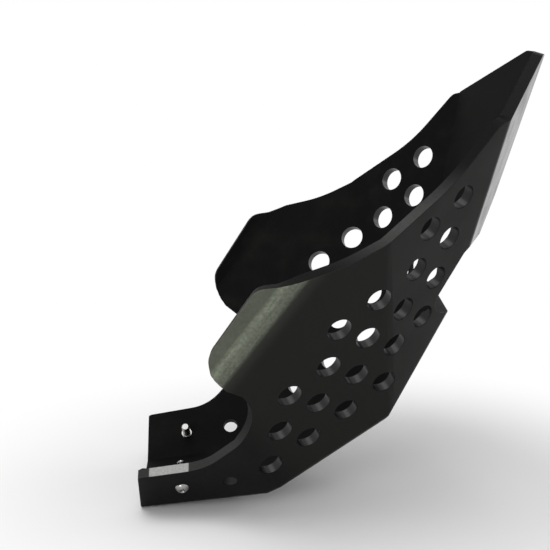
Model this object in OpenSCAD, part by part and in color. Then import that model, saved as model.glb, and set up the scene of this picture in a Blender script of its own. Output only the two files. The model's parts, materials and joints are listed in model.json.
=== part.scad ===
// Motorcycle skid plate: one thick plastic sheet, heated and folded into a shell that
// is open at the back and at the top, with two screws through its rear flanges.
// X points forward, Z up, and the plate is the same on both sides of Y = 0.
// The origin lies level with the belly's rear edge, its lowest line, at half the
// plate's length. The belly rises a little towards the front.
//
// Each flat facet of the sheet is set by one point on its outer face, by its turn
// (0 faces forward, 90 faces the rider's right) and by its droop below the level.
// On a facet, u runs level and forward and v runs up the slope, both from that point.

/* [Sheet] */
// Thickness of the moulded sheet
sheet = 8; // [6:0.5:9]
// Outer radius of the tight bends round the front, the chin and the belly
bend_r = 11; // [10:0.5:14]
// Outer radius of the soft folds beside the perforated side
fold_r = 30; // [22:1:36]
// Outer radius of the keel down the middle of the front
keel_r = 10; // [9.5:0.5:14]

/* [Outer size] */
// Height of the keel's top above the belly's rear edge
height = 332; // [324:1:340]
// Distance from the middle of the plate back to its rear edge
rear_reach = 149; // [144:1:160]

/* [Front facets] */
// Turn of each half of the front, away from straight ahead
front_turn = 17; // [14:0.5:20]
// Droop of the front
front_droop = 17; // [15:0.5:19]
// Forward reach of the keel at its middle
front_x = 128; // [124:1:132]
// Height of the keel's middle
front_z = 265; // [258:1:270]
// Turn of the shoulders beside the front
shoulder_turn = 48; // [45:0.5:51]
// Droop of the shoulders
shoulder_droop = 21; // [19:0.5:23]
// Forward place of the shoulders' middle
shoulder_x = 55; // [52:1:58]
// Half width at the shoulders' middle
shoulder_y = 88; // [85:1:92]
// Height of the shoulders' middle
shoulder_z = 188; // [184:1:192]

/* [Side facets] */
// Turn of the perforated sides
side_turn = 66; // [63:0.5:69]
// Droop of the perforated sides
side_droop = 27; // [25:0.5:29]
// Forward place of the sides' middle
side_x = 8; // [5:1:11]
// Half width at the sides' middle
side_y = 80; // [77:1:84]
// Height of the sides' middle
side_z = 113; // [109:1:117]
// Turn of the wings behind the sides
wing_turn = 96; // [92:0.5:99]
// Droop of the wings
wing_droop = 9; // [6:0.5:12]
// Distance from the middle back to the wings' middle
wing_back = 75; // [72:1:78]
// Half width at the wings' middle
wing_y = 137; // [134:1:140]
// Height of the wings' middle
wing_z = 157; // [154:1:160]

/* [Lower facets] */
// Turn of the rear flanges
flange_turn = 86; // [84:0.5:88]
// Droop of the rear flanges
flange_droop = 38.5; // [37:0.5:40]
// Distance from the rear edge forward to the fixing screws
screw_in = 31.5; // [26:0.5:36]
// Half width at the fixing screws
screw_y = 59; // [57:1:61]
// Height of the fixing screws
screw_z = 21.5; // [20:0.5:23]
// Droop of the chin below the window
chin_droop = 27; // [25:0.5:30]
// Forward reach of the chin's middle
chin_x = 59; // [56:1:62]
// Height of the chin's middle
chin_z = 117; // [112:1:122]
// Droop of the ramp between chin and belly
ramp_droop = 57; // [54:0.5:60]
// Distance from the middle back to the ramp's middle
ramp_back = 5; // [2:1:8]
// Height of the ramp's middle
ramp_z = 42.5; // [39:0.5:46]
// Droop of the belly, a little short of facing straight down
belly_droop = 83.5; // [82:0.5:86]

/* [Free edges] */
// Half width of the level stretch at the keel's top
crown_half = 14; // [12:1:20]
// Radius at each end of that stretch
crown_r = 12; // [6:1:14]
// Height at which the top edge crosses the bend from front to shoulder
corner_z = 294; // [288:1:300]
// Length over which the top edge runs on past that bend before it turns down
shoulder_run = 9; // [7:0.5:13]
// Radius of that turn
shoulder_run_r = 8; // [4:1:10]
// Point of the shoulder where its top edge becomes less steep
shoulder_knee = [-2, 70];
// Radius of that turn
shoulder_knee_r = 120; // [60:10:160]
// Height at which the top edge crosses the fold from shoulder to side
side_top = 217; // [212:1:222]
// Length over which the top edge runs on past that fold before it turns level
side_run = 32; // [28:1:36]
// Radius of that turn
side_run_r = 110; // [60:10:130]
// Height at which the top edge crosses the fold from side to wing
wing_top = 192; // [188:1:196]
// Length of the wing's top edge
wing_run = 23; // [20:1:28]
// Radius of the wing's upper corner
wing_r = 13; // [6:1:14]
// Point of the wing where its rear edge turns steep
wing_knee = [-22, -17];
// Radius of that turn
wing_knee_r = 15; // [8:1:20]
// Length over which the lower edge runs on past its fold into the wing
tip_run = 5; // [4:0.5:8]
// Radius that ends it
tip_r = 8; // [4:0.5:10]
// Height at which the lower edge crosses the fold from side to wing
tail_z = 123; // [120:1:125]
// Point of the side where its lower edge turns up towards the wing
tail_knee = [-101, 0.8];
// Radius of that turn
tail_r = 12; // [6:1:14]
// Point of the side where its rear bite starts
bite_start = [-87, -7];
// Point where the tangents of the bite would meet
bite_knee = [-68, -30.5];
// Radius of the bite
bite_r = 38; // [20:1:40]
// Height at which the bite crosses the fold from side to flange
bite_z = 64; // [60:1:68]
// Length over which the bite runs on into the flange
bite_run = 38; // [34:1:42]
// Radius that ends it
bite_run_r = 36; // [20:1:40]
// Height of the flange above the fixing screw, at its rear end
flange_rise = 14.5; // [12:0.5:18]
// Radius of the flange's rear corner
flange_r = 5; // [2:0.5:8]

/* [Front window] */
// Half width of the window
window_half = 67; // [62:1:70]
// Height of its upper edge
window_top = 202; // [194:1:208]
// Height of its lower edge
window_low = 151; // [146:1:158]
// Radius of its lower corners
window_r = 17; // [8:1:22]
// Radius of its upper corners
window_top_r = 5; // [3:1:10]

/* [Perforation] */
// Diameter of the round holes
hole_d = 18; // [12:0.5:20]
// Distance between neighbouring columns of holes
column_step = 25; // [23:0.5:27]
// Fall of each column against the one behind it
column_fall = 11; // [9:0.5:13]
// Distance between holes in a column of the side
side_row = 34; // [31:0.5:36]
// Distance between holes in a column of the shoulder
shoulder_row = 32; // [30:0.5:34]
// Hole of the shoulder pattern that the others are counted from, on its facet
shoulder_start = [-13, 5];

/* [Fixing] */
// Thread size of the fixing screws
screw_d = 6; // [5:0.5:8]
// Diameter of the screw's plain shoulder, which carries the sheet
collar_d = 8; // [6.5:0.5:9]
// Length by which the shoulder stands proud of the sheet, so that the sheet isn't crushed
collar_proud = 0.3; // [0.2:0.1:0.6]
// Width of the gap round the shoulder in its hole
screw_gap = 0.3; // [0.2:0.05:0.5]
// Diameter of the screw's domed head
head_d = 10.5; // [9.5:0.5:14]
// Height of the domed head
head_h = 3.3; // [2.5:0.1:4.5]
// Width across flats of the key socket in the head
key_w = 4; // [3:0.5:5]
// Length of thread behind the shoulder
screw_reach = 14; // [8:1:24]
// Diameter of the plain drain hole in each flange
drain_d = 11; // [6:0.5:14]
// Place of the drain hole from the fixing screw, on the flange
drain_at = [35, 7];

/* [Hidden] */

// Reach of the tools that cut the sheet, well past every edge
far = 400;
// Largest turn between neighbouring flats of a rolled bend
roll_step = 12;
// Clearance by which a cutter passes a face
past = 1;

// Holes of the side pattern as [column, row], counted forward and down
side_holes = [
    [-2, 1], [-2, 2], [-2, 3],
    [-1, -1], [-1, 0], [-1, 1], [-1, 2],
    [0, -2], [0, -1], [0, 0], [0, 1],
    [1, -1], [1, 0]
];
// Holes of the shoulder pattern as [column, row]
shoulder_holes = [
    [0, -1], [0, 0], [0, 1],
    [1, -2], [1, -1], [1, 0], [1, 1]
];

// Vector helpers
function unit(v) = v / norm(v);
function facing(turn, droop) = [cos(droop) * cos(turn), -cos(droop) * sin(turn), -sin(droop)];
function flipped(v) = [v.x, -v.y, v.z];

// A facet holds its outward normal, a point on its outer face, its turn and its droop
function facet(turn, droop, point) = [facing(turn, droop), point, turn, droop];
function other_side(f) = [flipped(f[0]), flipped(f[1])];
function reach(f) = f[0] * f[1];
function u_axis(f) = [sin(f[2]), cos(f[2]), 0];
function v_axis(f) = cross(f[0], u_axis(f));
function on_face(f, p) = [(p - f[1]) * u_axis(f), (p - f[1]) * v_axis(f)];
function in_space(f, p) = f[1] + p.x * u_axis(f) + p.y * v_axis(f);

front = facet(front_turn, front_droop, [front_x, 0, front_z]);
shoulder = facet(shoulder_turn, shoulder_droop, [shoulder_x, -shoulder_y, shoulder_z]);
side = facet(side_turn, side_droop, [side_x, -side_y, side_z]);
wing = facet(wing_turn, wing_droop, [-wing_back, -wing_y, wing_z]);
flange = facet(flange_turn, flange_droop, [screw_in - rear_reach, -screw_y, screw_z]);
chin = facet(0, chin_droop, [chin_x, 0, chin_z]);
ramp = facet(0, ramp_droop, [-ramp_back, 0, ramp_z]);
belly = facet(0, belly_droop, [-rear_reach, 0, 0]);

// Point on the sharp line where two facets would meet, at a given height
function meet(f, g, z) =
    let (axis = cross(f[0], g[0]),
         foot = (cross(g[0], axis) * reach(f) + cross(axis, f[0]) * reach(g)) / (axis * axis))
    foot + axis * (z - foot.z) / axis.z;

// Flats that roll the sheet from one facet to the next round an outer radius r
function roll(f, g, r) =
    let (turn = acos(f[0] * g[0]), steps = ceil(turn / roll_step))
    [for (i = [1 : steps - 1])
        let (a = sin(turn * (1 - i / steps)) / sin(turn), b = sin(turn * i / steps) / sin(turn))
        [a * f[0] + b * g[0], a * (reach(f) - r) + b * (reach(g) - r) + r]];

// Outer planes of the right half and of the middle, each as normal and reach
right_planes = concat(
    [for (f = [front, shoulder, side, wing, flange]) [f[0], reach(f)]],
    roll(front, shoulder, bend_r),
    roll(shoulder, side, fold_r),
    roll(side, wing, fold_r),
    roll(side, flange, fold_r),
    roll(shoulder, chin, bend_r),
    roll(side, ramp, bend_r),
    roll(flange, ramp, bend_r),
    roll(flange, belly, bend_r)
);
middle_planes = concat(
    [for (f = [chin, ramp, belly]) [f[0], reach(f)]],
    roll(front, other_side(front), keel_r),
    roll(chin, ramp, fold_r),
    roll(ramp, belly, fold_r)
);
left_planes = [for (p = right_planes) [flipped(p[0]), p[1]]];
all_planes = concat(right_planes, left_planes, middle_planes);

// Corners of the free edges that lie on a bend
crown = meet(front, other_side(front), height);
corner = meet(front, shoulder, corner_z);
side_start = meet(shoulder, side, side_top);
wing_start = meet(side, wing, wing_top);
tail = meet(side, wing, tail_z);
bite_end = meet(side, flange, bite_z);

// Turns of the free edges on their facets. Past each bend an edge runs on as straight
// as it would in the flat sheet, up to the next turn.
crown_end = on_face(front, crown) - [crown_half, 0];
shoulder_turn_down = run_on(front, crown_end, corner, shoulder, shoulder_run);
side_knee = run_on(shoulder, shoulder_knee, side_start, side, side_run);
wing_corner = run_on(side, side_knee, wing_start, wing, wing_run);
wing_tip = run_on(side, tail_knee, tail, wing, tip_run);
flange_knee = run_on(side, bite_knee, bite_end, flange, bite_run);
flange_end = [-screw_in - 2 * past, flange_rise];

// Outlines of the free edges, from the rear forwards or from the top down
front_edge = rounded([on_face(front, corner), crown_end, on_face(front, crown)], [crown_r]);
shoulder_edge = rounded(
    [on_face(shoulder, side_start), shoulder_knee, shoulder_turn_down, on_face(shoulder, corner)],
    [shoulder_knee_r, shoulder_run_r]
);
side_edge = rounded([on_face(side, wing_start), side_knee, on_face(side, side_start)], [side_run_r]);
wing_edge = rounded(
    [on_face(wing, wing_start), wing_corner, wing_knee, wing_tip, on_face(wing, tail)],
    [wing_r, wing_knee_r, tip_r]
);
bite_edge = rounded(
    [on_face(side, tail), tail_knee, bite_start, bite_knee, on_face(side, bite_end)],
    [tail_r, 0, bite_r]
);
flange_edge = rounded(
    [flange_end - [0, 2 * flange_rise], flange_end, flange_knee, on_face(flange, bite_end)],
    [flange_r, bite_run_r]
);

// Point on facet g at this distance past a point of its bend with facet f, straight on in
// the flat sheet for an edge that comes from p on facet f
function run_on(f, p, bend_point, g, distance) =
    let (axis = unit(cross(f[0], g[0])),
         along = unit(bend_point - in_space(f, p)) * axis,
         out = cross(axis, g[0]),
         onto_g = out * (g[0] - f[0]) < 0 ? -out : out)
    on_face(g, bend_point + distance * (along * axis + sqrt(1 - along * along) * onto_g));

// Outline through the points, with each inner point rounded to its radius
function rounded(points, radii) = [
    points[0],
    for (i = [1 : len(points) - 2])
        each radii[i - 1] > 0 ? fillet(points[i - 1], points[i], points[i + 1], radii[i - 1]) : [points[i]],
    points[len(points) - 1]
];

// Rounds the corner b between a and c with radius r
function fillet(a, b, c, r, steps = 8) =
    let (to_a = unit(a - b), to_c = unit(c - b), half = acos(to_a * to_c) / 2,
         centre = b + unit(to_a + to_c) * r / sin(half),
         from = b + to_a * r / tan(half) - centre,
         to = b + to_c * r / tan(half) - centre,
         start = atan2(from.y, from.x),
         sweep = (atan2(to.y, to.x) - start + 540) % 360 - 180)
    [for (i = [0 : steps]) centre + r * [cos(start + sweep * i / steps), sin(start + sweep * i / steps)]];

// Places its children with z along a facet's outward normal
module on_facet(f) {
    translate(f[1]) rotate([90 + f[3], 0, 90 - f[2]]) children();
}

// Half space behind the plane with this normal and reach
module behind(normal, plane_reach) {
    rotate([0, acos(normal.z), atan2(normal.y, normal.x)])
        translate([-2 * far, -2 * far, plane_reach - 4 * far])
            cube(4 * far);
}

// Solid inside all the planes, each moved inwards by the inset
module folded_solid(inset) {
    intersection_for (p = all_planes)
        behind(p[0], p[1] - inset);
}

// Half space that is nearer to facet f than to facet g, and reaches over the bend by lap
module nearer(f, g, lap) {
    step = g[0] - f[0];
    behind(unit(step), (reach(g) - reach(f)) / norm(step) + lap);
}

// Cuts a facet square to its face along an edge, up to the bends with its neighbours.
// It may reach over a bend where that only meets what the neighbour's cut takes anyway.
// From each end of the edge, the cut reaches as far off as away says.
module trim(f, neighbours, laps, edge, away) {
    last = len(edge) - 1;
    before = edge[0] + unit(edge[0] - edge[1]) * far;
    after = edge[last] + unit(edge[last] - edge[last - 1]) * far;
    intersection() {
        on_facet(f)
            translate([0, 0, -2.5 * sheet])
                linear_extrude(3.5 * sheet)
                    polygon(concat([before], edge, [after, after + away[1], before + away[0]]));
        intersection_for (i = [0 : len(neighbours) - 1])
            nearer(f, neighbours[i], laps[i]);
    }
}

module trims() {
    up = [0, far];
    back = [-far, 0];
    trim(front, [other_side(front), shoulder], [past, past], front_edge, [up, up]);
    trim(shoulder, [front, side], [0, past], shoulder_edge, [up, up]);
    trim(side, [shoulder, wing], [0, past], side_edge, [up, up]);
    trim(wing, [side], [0], wing_edge, [2 * up + 2 * back, 2 * back - up]);
    trim(side, [wing, flange], [past, past], bite_edge, [back, back]);
    trim(flange, [side], [0], flange_edge, [up + back, up + back]);
}

// Window through the front, cut straight ahead and the same on both sides
module window() {
    low = window_low;
    high = window_top;
    right = fillet([0, low], [window_half, low], [window_half, high], window_r);
    right_top = fillet([window_half, low], [window_half, high], [0, high], window_top_r);
    outline = concat(right, right_top);
    rotate([90, 0, 90])
        linear_extrude(far)
            polygon(concat(outline, [for (i = [len(outline) - 1 : -1 : 0]) [-outline[i].x, outline[i].y]]));
}

module hole(d) {
    translate([0, 0, -2 * sheet])
        cylinder(d = d, h = 3 * sheet, $fn = 48);
}

module perforation() {
    on_facet(side)
        for (h = side_holes)
            translate([h[0] * column_step, -h[1] * side_row - h[0] * column_fall])
                hole(hole_d);
    on_facet(shoulder)
        for (h = shoulder_holes)
            translate(shoulder_start + [h[0] * column_step, -h[1] * shoulder_row - h[0] * column_fall])
                hole(hole_d);
}

module flange_holes() {
    on_facet(flange) {
        hole(collar_d + 2 * screw_gap);
        translate(drain_at) hole(drain_d);
    }
}

module skid_plate() {
    color("#27282a")
    difference() {
        intersection() {
            folded_solid(0);
            translate([-rear_reach, -far, 0]) cube([2 * far, 2 * far, height + sheet]);
        }
        folded_solid(sheet);
        window();
        for (mirrored = [0, 1])
            mirror([0, mirrored, 0]) {
                trims();
                perforation();
                flange_holes();
            }
    }
}

// Screw with a domed head, a key socket and a plain shoulder, seated on z = 0
module fixing_screw() {
    dome_r = (head_d * head_d / 4 + head_h * head_h) / (2 * head_h);
    collar_h = sheet + collar_proud;
    difference() {
        union() {
            intersection() {
                translate([0, 0, head_h - dome_r]) sphere(dome_r, $fn = 64);
                cylinder(d = head_d, h = head_h, $fn = 48);
            }
            translate([0, 0, -collar_h])
                cylinder(d = collar_d, h = collar_h + head_h * 0.2, $fn = 48);
            translate([0, 0, -collar_h - screw_reach])
                cylinder(d = screw_d, h = collar_h + screw_reach, $fn = 48);
        }
        translate([0, 0, head_h * 0.4])
            cylinder(d = key_w / cos(30), h = head_h, $fn = 6);
    }
}

module fixing_screws() {
    color("#c8cbce")
    for (mirrored = [0, 1])
        mirror([0, mirrored, 0])
            on_facet(flange) fixing_screw();
}

skid_plate();
fixing_screws();
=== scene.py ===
import json
import math

import bmesh
import bpy
from mathutils import Matrix, Vector
from mathutils.bvhtree import BVHTree


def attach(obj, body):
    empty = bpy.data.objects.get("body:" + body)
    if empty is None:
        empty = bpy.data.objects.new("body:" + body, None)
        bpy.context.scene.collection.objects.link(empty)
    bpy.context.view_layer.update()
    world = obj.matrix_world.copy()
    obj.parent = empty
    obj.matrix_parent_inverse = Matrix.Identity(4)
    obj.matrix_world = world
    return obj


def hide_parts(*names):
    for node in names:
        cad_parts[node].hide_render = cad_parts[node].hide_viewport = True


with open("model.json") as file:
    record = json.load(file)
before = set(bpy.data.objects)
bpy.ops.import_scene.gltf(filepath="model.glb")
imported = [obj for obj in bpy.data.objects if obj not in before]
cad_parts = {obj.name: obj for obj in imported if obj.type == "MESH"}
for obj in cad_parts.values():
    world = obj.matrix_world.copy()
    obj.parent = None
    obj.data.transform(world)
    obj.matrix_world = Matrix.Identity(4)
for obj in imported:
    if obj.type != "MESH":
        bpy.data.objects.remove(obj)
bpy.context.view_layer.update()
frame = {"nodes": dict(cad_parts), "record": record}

# Skid plate. One 8 mm sheet of black polyethylene, cut flat on a router with its holes and
# window, then heated and folded into a shell. The folds are rolled, the router leaves fine
# lines on the cut edges, and the corners are only broken by hand.
MM = 0.001
SHEET = 8 * MM
CORNER_BREAK = 0.4 * MM
BREAK_STEPS = 2
FOLD_RADIUS = 30 * MM
BEND_RADIUS = 11 * MM

# Points nearer than DOUBLES become one, and edges shorter than SLIVER go
DOUBLES = 0.35 * MM
SLIVER = 0.01 * MM
# Faces that turn less than FLAT_ANGLE are one flat, and corners over SHARP_ANGLE get broken
FLAT_ANGLE = math.radians(0.4)
SHARP_ANGLE = math.radians(38)
# Edges over CREASE_ANGLE are shaded as a crease, and large flats keep their own shading
CREASE_ANGLE = math.radians(32)
FLAT_WEIGHT = 80

# Each flat facet of the right half: its turn, its droop and a point on its outer face
FACETS = {
    "front": (17, 17, (128, 0, 265)),
    "shoulder": (48, 21, (55, -88, 188)),
    "side": (66, 27, (8, -80, 113)),
    "wing": (96, 9, (-75, -137, 157)),
    "flange": (86, 38.5, (-117.5, -59, 21.5)),
    "chin": (0, 27, (59, 0, 117)),
    "ramp": (0, 57, (-5, 0, 42.5)),
    "belly": (0, 83.5, (-149, 0, 0)),
}


def facing(turn, droop):
    turn, droop = math.radians(turn), math.radians(droop)
    return Vector(
        (math.cos(droop) * math.cos(turn), -math.cos(droop) * math.sin(turn), -math.sin(droop))
    )


# Each facet's outward normal, and how far its outer face lies from the origin along it
FACET_PLANES = {
    name: (facing(turn, droop), facing(turn, droop).dot(Vector(point) * MM))
    for name, (turn, droop, point) in FACETS.items()
}

# Where the sheet's outline crosses a fold: the facets, the fold's outer radius, the height
CROSSINGS = [
    ("front", "shoulder", BEND_RADIUS, 294 * MM),
    ("shoulder", "side", FOLD_RADIUS, 217 * MM),
    ("side", "wing", FOLD_RADIUS, 192 * MM),
    ("side", "wing", FOLD_RADIUS, 123 * MM),
    ("side", "flange", FOLD_RADIUS, 64 * MM),
]
# A step in the outline lies this near its crossing, and this near the fold's middle
STEP_REACH = 6 * MM
ON_MIDDLE = 0.05 * MM

# The round holes, counted in columns and rows on their facet from a first hole
HOLE_RADIUS = 9 * MM
HOLE_MARGIN = 0.5 * MM
COLUMN_STEP, COLUMN_FALL = 25 * MM, 11 * MM
HOLE_PATTERNS = {
    "side": ((0, 0), 34 * MM, {-2: (1, 3), -1: (-1, 2), 0: (-2, 1), 1: (-1, 0)}),
    "shoulder": ((-13 * MM, 5 * MM), 32 * MM, {0: (-1, 1), 1: (-2, 1)}),
}

# The plate's four finishes in the order of its materials, and the depths that part them
OUTER_SKIN, CUT_EDGE, HOLE_WALL, INNER_SKIN = range(4)
EDGE_FROM, EDGE_TO = 2 * MM, SHEET - 1 * MM


def on_right(vector):
    return Vector((vector.x, -abs(vector.y), vector.z))


def depth_in_sheet(point):
    """How far a point lies inside the outer face: 0 outside, the sheet's thickness inside."""
    right = on_right(point)
    return -max(normal.dot(right) - reach for normal, reach in FACET_PLANES.values())


def make_whole(bm):
    """Joins loose triangles to one closed mesh, with its flat faces whole again."""
    bmesh.ops.remove_doubles(bm, verts=bm.verts, dist=DOUBLES)
    bmesh.ops.dissolve_degenerate(bm, edges=bm.edges, dist=DOUBLES)
    bmesh.ops.dissolve_limit(
        bm, angle_limit=FLAT_ANGLE, use_dissolve_boundaries=False, verts=bm.verts, edges=bm.edges
    )


def carry_round(bm, start, end, radius, height):
    """Joins the two facets' square cuts at the middle of a fold, where they leave a step."""
    (a, a_reach), (b, b_reach) = FACET_PLANES[start], FACET_PLANES[end]
    axis, middle, across = a.cross(b).normalized(), (a + b).normalized(), (b - a).normalized()
    centre = Matrix((a, b, axis)).inverted() @ Vector((a_reach - radius, b_reach - radius, 0))
    crossing = Matrix((a, b, (0, 0, 1))).inverted() @ Vector((a_reach, b_reach, height))
    steps = {}
    for vert in bm.verts:
        arm = on_right(vert.co) - centre
        along = arm.dot(axis)
        if abs(arm.dot(across)) < ON_MIDDLE and abs(along - crossing.dot(axis)) < STEP_REACH:
            outside = arm.dot(middle) > radius - SHEET / 2
            steps.setdefault((vert.co.y > 0, outside), []).append((along, vert))
    for (left, _), ends in steps.items():
        mean = sum(along for along, _ in ends) / len(ends)
        for along, vert in ends:
            shift = axis * (mean - along)
            vert.co += Vector((shift.x, -shift.y if left else shift.y, shift.z))


def hole_axes():
    """A point and the direction of each round hole's axis, on the right half."""
    for name, (first, row_step, columns) in HOLE_PATTERNS.items():
        turn, _, point = FACETS[name]
        normal = FACET_PLANES[name][0]
        level = Vector((math.sin(math.radians(turn)), math.cos(math.radians(turn)), 0))
        slope = normal.cross(level)
        for column, (row_from, row_to) in columns.items():
            for row in range(row_from, row_to + 1):
                forward = first[0] + column * COLUMN_STEP
                up = first[1] - row * row_step - column * COLUMN_FALL
                yield Vector(point) * MM + level * forward + slope * up, normal


HOLE_AXES = list(hole_axes())


def in_hole(point):
    right = on_right(point)
    within = HOLE_RADIUS + HOLE_MARGIN
    return any((right - start).cross(axis).length < within for start, axis in HOLE_AXES)


def sharp_edges(bm):
    return [e for e in bm.edges if len(e.link_faces) == 2 and e.calc_face_angle(0) > SHARP_ANGLE]


def placed(bm, name):
    """Puts a finished mesh in the scene as a piece of the object."""
    mesh = bpy.data.meshes.new(name)
    bm.to_mesh(mesh)
    bm.free()
    piece = bpy.data.objects.new(name, mesh)
    bpy.context.scene.collection.objects.link(piece)
    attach(piece, "root")
    return piece


plate_bm = bmesh.new()
plate_bm.from_mesh(frame["nodes"]["skid_plate"].data)
bmesh.ops.remove_doubles(plate_bm, verts=plate_bm.verts, dist=DOUBLES)
for crossing in CROSSINGS:
    carry_round(plate_bm, *crossing)
make_whole(plate_bm)

# The corners are broken, and no point may end up further from the sheet than the break
unbroken = BVHTree.FromBMesh(plate_bm)
bmesh.ops.bevel(
    plate_bm, geom=sharp_edges(plate_bm), affect="EDGES", offset=CORNER_BREAK,
    offset_type="OFFSET", segments=BREAK_STEPS, profile=0.5, material=-1, clamp_overlap=False,
)
for vert in plate_bm.verts:
    nearest, _, _, distance = unbroken.find_nearest(vert.co)
    if distance > CORNER_BREAK:
        vert.co = nearest
bmesh.ops.dissolve_degenerate(plate_bm, edges=plate_bm.edges, dist=SLIVER)
bmesh.ops.triangulate(plate_bm, faces=[f for f in plate_bm.faces if len(f.verts) > 4])

for face in plate_bm.faces:
    face.smooth = True
    middle = face.calc_center_median()
    depth = depth_in_sheet(middle)
    if depth >= EDGE_TO:
        face.material_index = INNER_SKIN
    elif depth > EDGE_FROM:
        face.material_index = HOLE_WALL if in_hole(middle) else CUT_EDGE
    else:
        face.material_index = OUTER_SKIN
plate = placed(plate_bm, "folded_plate")
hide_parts("skid_plate")
plate.data.set_sharp_from_angle(angle=CREASE_ANGLE)
weighted = plate.modifiers.new("Even faces", "WEIGHTED_NORMAL")
weighted.keep_sharp = True
weighted.weight = FLAT_WEIGHT


class Socket:
    """A shader value that is worked out with Python's own operators."""

    def __init__(self, tree, value):
        self.tree, self.value = tree, value

    def node(self, kind, settings=(), inputs=(), output=0):
        made = self.tree.nodes.new(kind)
        for key, setting in dict(settings).items():
            setattr(made, key, setting)
        for key, item in dict(inputs).items():
            if isinstance(item, Socket):
                self.tree.links.new(item.value, made.inputs[key])
            else:
                made.inputs[key].default_value = item
        return Socket(self.tree, made.outputs[output])

    def maths(self, operation, *values, clamp=False):
        return self.node(
            "ShaderNodeMath", {"operation": operation, "use_clamp": clamp}, enumerate(values)
        )

    def __add__(self, other):
        return self.maths("ADD", self, other)

    __radd__ = __add__

    def __mul__(self, other):
        return self.maths("MULTIPLY", self, other)

    __rmul__ = __mul__

    def __sub__(self, other):
        return self.maths("SUBTRACT", self, other)

    def __rsub__(self, other):
        return self.maths("SUBTRACT", other, self)

    def ramp(self, low, high, to_low=0.0, to_high=1.0):
        """Eased step from to_low at low to to_high at high."""
        return self.node(
            "ShaderNodeMapRange",
            {"interpolation_type": "SMOOTHSTEP"},
            {0: self, 1: low, 2: high, 3: to_low, 4: to_high},
        )

    def mix(self, first, second):
        """Colour between two others, with this value as the share of the second."""
        return self.node(
            "ShaderNodeMix", {"data_type": "RGBA"}, {0: self, 6: first, 7: second}, output=2
        )

    def noise(self, scale, detail=2.0, roughness=0.5, stretch=None):
        at = self
        if stretch:
            at = self.node("ShaderNodeMapping", {}, {"Vector": self, "Scale": stretch})
        return self.node(
            "ShaderNodeTexNoise",
            {},
            {"Vector": at, "Scale": scale, "Detail": detail, "Roughness": roughness},
        )

    def bump(self, strength, distance, under=None):
        """Surface normal with this value as height, on top of another such normal."""
        inputs = {"Strength": strength, "Distance": distance, "Height": self}
        if under:
            inputs["Normal"] = under
        return self.node("ShaderNodeBump", {}, inputs)


def material(name, constants):
    """New material with its shader's fixed values set, its shader and its object coordinates."""
    made = bpy.data.materials.new(name)
    made.use_nodes = True
    shader = made.node_tree.nodes["Principled BSDF"]
    for key, value in constants.items():
        shader.inputs[key].default_value = value
    place = Socket(made.node_tree, None).node("ShaderNodeTexCoord", output=3)
    return made, shader, place


def joined(shader, **sockets):
    """Links sockets to the shader's inputs of the same names."""
    for key, socket in sockets.items():
        socket.tree.links.new(socket.value, shader.inputs[key.replace("_", " ")])


def dot(place, vector):
    return place.node(
        "ShaderNodeVectorMath", {"operation": "DOT_PRODUCT"}, {0: place, 1: vector}, output=1
    )


def right_half(place):
    """The same place on the right half, because both halves look alike."""
    mirrored = place.node("ShaderNodeVectorMath", {"operation": "ABSOLUTE"}, {0: place})
    parts = place.node("ShaderNodeSeparateXYZ", {}, {0: place})
    across = place.node("ShaderNodeSeparateXYZ", {}, {0: mirrored}, output=1)
    up = Socket(place.tree, parts.value.node.outputs[2])
    return place.node("ShaderNodeCombineXYZ", {}, {0: parts, 1: 0 - across, 2: up})


def past_fold(place, start, end):
    """Distance past the middle of the fold from one facet to the next."""
    (a, a_reach), (b, b_reach) = FACET_PLANES[start], FACET_PLANES[end]
    step = b - a
    return dot(place, step.normalized()) - (b_reach - a_reach) / step.length


# Outer skin: satin black with a fine grain. A painted highlight runs in streaks along the roll
# from side to wing, and painted light turns the wing behind it a dull green grey. Painted
# shade makes the flange the blackest part; it is also the roughest, and the front is the
# smoothest.
PLATE_BLACK = (0.0075, 0.0075, 0.0068, 1)
# Painted shade: the downward-facing flange is coloured blacker than the rest of the skin
FLANGE_PAINTED_SHADE = (0.003, 0.003, 0.003, 1)
# Painted light: the wing facet faces the light and is coloured a lighter green grey
WING_PAINTED_LIGHT = (0.080, 0.086, 0.066, 1)
# Painted highlight in streaks along the roll from side to wing
ROLL_PAINTED_HIGHLIGHT = (0.178, 0.198, 0.153, 1)
SKIN_GLOSS = 0.09
# The painted light and highlight are laid out from a line this far before the fold's middle,
# and the highlight's noise is squeezed to this share along the fold, which draws it out into
# streaks
ROLL_SHIFT = 2.5 * MM
STREAK_SQUEEZE = 0.06

skin, shader, place = material("plate skin", {"Specular IOR Level": SKIN_GLOSS})
halved = right_half(place)
clouds = place.noise(38, 3)
light_mottle = place.noise(420, 4, 0.7)
to_wing = past_fold(halved, "side", "wing") + ROLL_SHIFT
fold_axis = FACET_PLANES["side"][0].cross(FACET_PLANES["wing"][0]).normalized()
lengthwise = to_wing.node(
    "ShaderNodeCombineXYZ", {}, {0: to_wing, 1: dot(halved, fold_axis) * STREAK_SQUEEZE}
)
streaks = lengthwise.noise(650, 2).ramp(0.35, 0.65, 0.75, 1.15)
faint_start, full_start = to_wing.ramp(-19 * MM, -7 * MM), to_wing.ramp(-9 * MM, -1 * MM)
wing_light_share = (faint_start * 0.2 + full_start * 0.8) * clouds.ramp(0.3, 0.7, 0.85, 1.0)
# The roll's painted highlight rises in two steps around the fold's middle
first_rise, second_rise = to_wing.ramp(-7.8 * MM, -3 * MM), to_wing.ramp(0.5 * MM, 4.5 * MM)
roll_end = to_wing.ramp(6 * MM, 9.8 * MM, 1.0, 0.0)
roll_highlight_share = (first_rise * 0.54 + second_rise * 0.46) * roll_end * streaks
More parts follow.
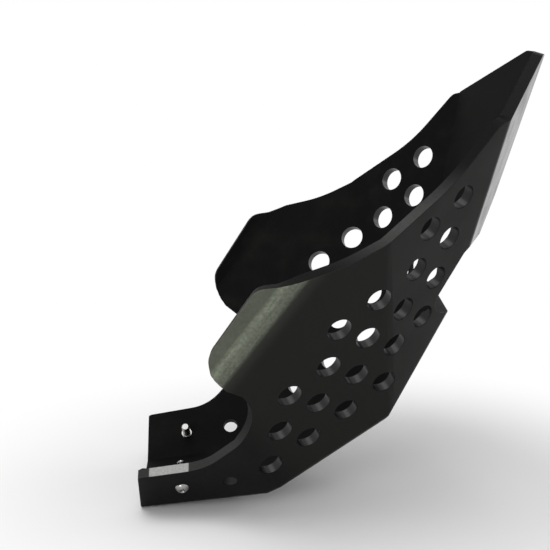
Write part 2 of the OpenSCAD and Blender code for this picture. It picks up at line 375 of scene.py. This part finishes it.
# How far into the flange, for its painted shade and its roughness
flange_share = past_fold(halved, "side", "flange").ramp(-30 * MM, 6 * MM)
front_share = past_fold(halved, "shoulder", "front").ramp(0.0, 4 * MM)
with_flange_shade = flange_share.mix(PLATE_BLACK, FLANGE_PAINTED_SHADE)
# Painted light on the wing, mottled by noise, over the skin's black
with_wing_light = (wing_light_share * light_mottle.ramp(0.3, 0.7, 0.8, 1.0)).mix(with_flange_shade, WING_PAINTED_LIGHT)
waves = place.noise(26, 1).bump(0.5, 0.6 * MM)
grain = place.noise(620, 2).bump(0.1, 0.08 * MM, waves)
joined(
    shader,
    Base_Color=(roll_highlight_share * light_mottle.ramp(0.35, 0.65, 0.35, 0.8)).mix(with_wing_light, ROLL_PAINTED_HIGHLIGHT),
    Roughness=clouds.ramp(0.35, 0.7, 0.38, 0.46) - front_share * 0.2 + flange_share * 0.1,
    Normal=place.noise(2600, 1).bump(0.12, 0.04 * MM, grain),
)

# Cut edges: duller, with router lines that run upward, and blacker than the skin as painted
# shade. The edge beside the shoulder and the low edges carry grey painted light, and a patch of
# the right flange's edge is a pale pool of painted light.
# Painted shade: the cut edges' black is set darker than the skin's
EDGE_SHADED_BLACK = (0.004, 0.004, 0.004, 1)
# Painted light in grey on the edge beside the shoulder and on the low edges
EDGE_PAINTED_LIGHT = (0.051, 0.051, 0.05, 1)
# A pale pool of painted light on part of the right flange's top edge
EDGE_LIGHT_POOL = (0.32, 0.32, 0.315, 1)
EDGE_GLOSS = 0.05
LINE_SQUEEZE = (1, 1, 0.08)

cut_edge, shader, place = material("routed edge", {"Specular IOR Level": EDGE_GLOSS})
lines = place.noise(900, 1, stretch=LINE_SQUEEZE)
forward, height = dot(place, (1, 0, 0)), dot(place, (0, 0, 1))
# Painted light on the cut edges in two height bands, broken up by the router lines
upper_light_share = height.ramp(198 * MM, 230 * MM) * height.ramp(230 * MM, 268 * MM, 1.0, 0.0)
lower_light_share = height.ramp(60 * MM, 90 * MM, 1.0, 0.0) * 0.5
edge_light_share = (upper_light_share + lower_light_share) * lines.ramp(0.3, 0.7, 0.75, 1.0)
# Where the painted pool of light lies on the right flange's edge
patch_start = forward.ramp(-141.2 * MM, -140.4 * MM)
patch_end = forward.ramp(-112.6 * MM, -111.8 * MM, 1.0, 0.0)
above_screw = height.ramp(33 * MM, 36 * MM)
right_side = dot(place, (0, -1, 0)).ramp(0, 10 * MM)
light_pool_place = patch_start * patch_end * above_screw * right_side
light_pool_share = light_pool_place * lines.ramp(0.3, 0.7, 0.8, 1.0)
joined(
    shader,
    Base_Color=light_pool_share.mix(edge_light_share.mix(EDGE_SHADED_BLACK, EDGE_PAINTED_LIGHT), EDGE_LIGHT_POOL),
    Roughness=lines.ramp(0.3, 0.7, 0.5, 0.6),
    Normal=lines.bump(0.12, 0.05 * MM),
)

# Hole walls: smoother than the cut edges, and unworn.
WALL_BLACKS = (0.002, 0.002, 0.002, 1), (0.004, 0.004, 0.004, 1)
WALL_GLOSS = 0.3

hole_wall, shader, place = material("drilled wall", {"Specular IOR Level": WALL_GLOSS})
rings = place.noise(700, 1)
joined(
    shader,
    Base_Color=rings.ramp(0.3, 0.7).mix(*WALL_BLACKS),
    Roughness=rings.ramp(0.3, 0.7, 0.3, 0.36),
    Normal=rings.bump(0.05, 0.03 * MM),
)

# Inner skin: dull, with a little dust.
INNER_BLACK = (0.003, 0.003, 0.003, 1)
INNER_DUST = (0.006, 0.006, 0.0056, 1)
INNER_GLOSS = 0.03

inner_skin, shader, place = material("inner skin", {"Specular IOR Level": INNER_GLOSS})
dust = place.noise(45, 4, 0.6)
joined(
    shader,
    Base_Color=dust.ramp(0.4, 0.75).mix(INNER_BLACK, INNER_DUST),
    Roughness=dust.ramp(0.3, 0.7, 0.55, 0.65),
    Normal=place.noise(620, 2).bump(0.1, 0.08 * MM),
)
for finish in (skin, cut_edge, hole_wall, inner_skin):
    plate.data.materials.append(finish)

# Fixing screws. Two stainless screws with a domed head, a hexagon socket and a plain
# shoulder that carries the sheet, one in each rear flange. The heads are rolled and bright,
# an M6 thread follows the shoulder, and the steel's colour is made darker as painted shade.
THREAD_PITCH = 1 * MM
THREAD_DEPTH = 0.6 * MM
THREAD_RUN_OUT = 0.8 * MM
TURN_STEPS = 20
# Corners of the ridge: rise along the screw in pitches, and depth below the crest as a share
# of the thread's depth
RIDGE = [(-0.48, 0.9), (0.0, 0.0), (0.48, 0.9)]

thread = next(m for m in frame["record"]["mounts"] if m["name"] == "right_frame_screw")
thread_r, thread_length = thread["dims"]["r_mm"] * MM, thread["dims"]["length_mm"] * MM
inward = Vector(thread["axis"]).normalized()
thread_end = Vector(thread["pos_m"]) + inward * thread_length / 2
thread_start = thread_end - inward * (thread_length - THREAD_RUN_OUT)

screws_bm = bmesh.new()
screws_bm.from_mesh(frame["nodes"]["fixing_screws"].data)
make_whole(screws_bm)
bmesh.ops.delete(screws_bm, geom=[v for v in screws_bm.verts if v.co.y > 0], context="VERTS")
bmesh.ops.bisect_plane(
    screws_bm, geom=screws_bm.verts[:] + screws_bm.edges[:] + screws_bm.faces[:],
    plane_co=thread_start, plane_no=inward, clear_outer=True,
)
bmesh.ops.holes_fill(screws_bm, edges=[e for e in screws_bm.edges if e.is_boundary])

# The core inside the thread, then the ridge as a triangle carried round and along it
upright_to_inward = inward.to_track_quat("Z", "Y").to_matrix().to_4x4()
core_length = (thread_end - thread_start).length
bmesh.ops.create_cone(
    screws_bm, cap_ends=True, segments=TURN_STEPS, radius1=thread_r - THREAD_DEPTH,
    radius2=thread_r - THREAD_DEPTH, depth=core_length,
    matrix=Matrix.Translation((thread_start + thread_end) / 2) @ upright_to_inward,
)
turns = int(core_length / THREAD_PITCH) - 1
at_first_turn = Matrix.Translation(thread_start + inward * THREAD_PITCH / 2) @ upright_to_inward
ridge_corners = [
    screws_bm.verts.new(
        at_first_turn @ Vector((thread_r - depth * THREAD_DEPTH, 0, rise * THREAD_PITCH))
    )
    for rise, depth in RIDGE
]
ridge_start = screws_bm.faces.new(ridge_corners)
bmesh.ops.spin(
    screws_bm, geom=[ridge_start], cent=thread_start, axis=inward,
    dvec=inward * THREAD_PITCH / TURN_STEPS, angle=2 * math.pi * turns,
    steps=turns * TURN_STEPS, use_merge=False, use_duplicate=False,
)
bmesh.ops.mirror(
    screws_bm, geom=screws_bm.verts[:] + screws_bm.edges[:] + screws_bm.faces[:],
    matrix=Matrix.Identity(4), merge_dist=0, axis="Y",
)
bmesh.ops.recalc_face_normals(screws_bm, faces=screws_bm.faces)
for face in screws_bm.faces:
    face.smooth = True
screws = placed(screws_bm, "shoulder_screws")
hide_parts("fixing_screws")
screws.data.set_sharp_from_angle(angle=CREASE_ANGLE)

# Painted shade: the steel's colour is about half that of clean stainless
STEEL_SHADED_GREY = (0.30, 0.295, 0.29, 1)
steel, shader, place = material("shaded steel", {"Metallic": 1.0, "Base Color": STEEL_SHADED_GREY})
turned = place.noise(1400, 2)
joined(
    shader,
    Roughness=turned.ramp(0.3, 0.7, 0.16, 0.28),
    Normal=turned.bump(0.12, 0.03 * MM),
)
screws.data.materials.append(steel)

# Floor and light. A pale studio floor that fades to white away from the plate, and soft
# lamps to the left, to the front and above, so that the folds show.
FLOOR_HALF = 6
FADE_START, FADE_END = 0.16, 0.35
FLOOR_GREYS = (0.80, 0.80, 0.80, 1), (0.84, 0.84, 0.84, 1)
WHITE = (1, 1, 1, 1)
SKY = 0.6
# The lamps face the middle of the plate
MIDDLE = Vector((0, 0, 0.16))


def background_rays(start):
    """1 for the rays that show the background: straight to the camera, mirrored or let through."""
    path = start.node("ShaderNodeLightPath")
    glossy = Socket(start.tree, path.value.node.outputs["Is Glossy Ray"])
    through = Socket(start.tree, path.value.node.outputs["Is Transmission Ray"])
    return start.maths("ADD", path + glossy, through, clamp=True)


floor_bm = bmesh.new()
bmesh.ops.create_grid(floor_bm, x_segments=1, y_segments=1, size=FLOOR_HALF)
floor_mesh = bpy.data.meshes.new("floor")
floor_bm.to_mesh(floor_mesh)
floor_bm.free()
floor = bpy.data.objects.new("floor", floor_mesh)
bpy.context.scene.collection.objects.link(floor)
pale, shader, place = material("pale floor", {"Roughness": 0.7, "Specular IOR Level": 0.2})
joined(shader, Base_Color=place.noise(3, 2).mix(*FLOOR_GREYS))
away = place.node("ShaderNodeVectorMath", {"operation": "LENGTH"}, {0: place}, output=1)
white = place.node("ShaderNodeEmission", {}, {"Color": WHITE, "Strength": 1.0})
white_share = background_rays(place) * away.ramp(FADE_START, FADE_END)
faded = place.node("ShaderNodeMixShader", {}, {0: white_share, 2: white})
links = pale.node_tree.links
links.new(shader.outputs[0], faded.value.node.inputs[1])
links.new(faded.value, pale.node_tree.nodes["Material Output"].inputs["Surface"])
floor.data.materials.append(pale)

world = bpy.data.worlds.new("studio")
bpy.context.scene.world = world
world.use_nodes = True
sky = world.node_tree.nodes["Background"]
sky.inputs["Color"].default_value = WHITE
shown = background_rays(Socket(world.node_tree, None))
world.node_tree.links.new((shown * (1 - SKY) + SKY).value, sky.inputs["Strength"])


def soft_lamp(name, at, size, watts):
    lamp = bpy.data.lights.new(name, "AREA")
    lamp.shape = "RECTANGLE"
    lamp.size, lamp.size_y = size
    lamp.energy = watts
    holder = bpy.data.objects.new(name, lamp)
    bpy.context.scene.collection.objects.link(holder)
    holder.location = at
    holder.rotation_euler = (MIDDLE - Vector(at)).to_track_quat("-Z", "Y").to_euler()


soft_lamp("left of the camera", (-0.9, -1.5, 0.5), (0.9, 0.7), 14)
soft_lamp("front of the plate", (1.7, 0.5, 0.9), (1.2, 1.2), 8)
soft_lamp("above", (-0.5, -0.3, 1.9), (1.6, 1.2), 14)

# Camera. It faces the plate's right side from a metre away through a long lens, level
# across and about 12 degrees down.
CAMERA_AT = (-0.0741, -1.0612, 0.3999)
LOOKS_DOWN, LOOKS_RIGHT = 0.2151, 0.0246

lens = bpy.data.cameras.new("camera")
lens.sensor_width = 36
lens.lens = 94.59
lens.clip_end = 50
camera = bpy.data.objects.new("camera", lens)
camera.location = CAMERA_AT
camera.rotation_euler = (math.pi / 2 - LOOKS_DOWN, 0, -LOOKS_RIGHT)
bpy.context.scene.collection.objects.link(camera)
bpy.context.scene.camera = camera

bpy.context.scene.view_settings.view_transform = "Standard"
